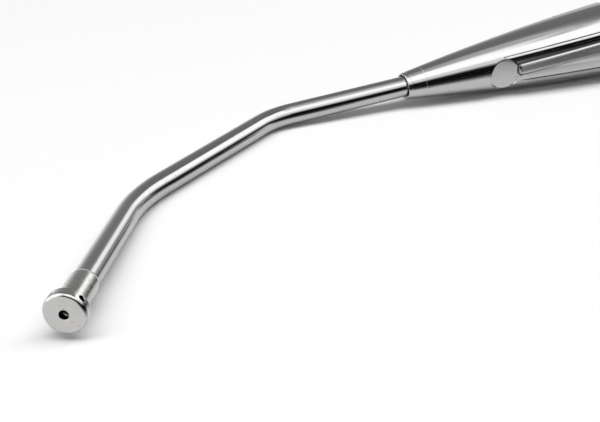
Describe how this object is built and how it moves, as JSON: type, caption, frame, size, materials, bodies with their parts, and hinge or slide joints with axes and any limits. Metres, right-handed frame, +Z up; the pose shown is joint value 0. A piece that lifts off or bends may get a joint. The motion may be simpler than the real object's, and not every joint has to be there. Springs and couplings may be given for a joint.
{
  "type": "yankauer suction tip",
  "caption": "Metal suction instrument: drilled button tip screwed on a twice-bent tube, tapered handle with fluted finger grips, and a hose tail.",
  "frame": {"origin": "on the surface that it lies on, under the middle of its bounding box", "axes": "+Z up, +X along the handle towards the hose tail, the tip bends towards -Y"},
  "size_m": [0.2402, 0.0996, 0.0235],
  "materials": {
    "tip_steel": "satin, finely turned, with small pits",
    "tube_steel": "polished, with fine handling scratches, duller towards the tip",
    "handle_steel": "mirror polished, with fine scratches",
    "connector_steel": "finely turned"
  },
  "bodies": {
    "root": {"suction_tip": "tip_steel", "tube_at_tip": "tube_steel", "tube_at_handle": "tube_steel", "nose_ferrule": "handle_steel", "handle_body": "handle_steel", "hose_connector": "connector_steel"}
  },
  "joints": []
}
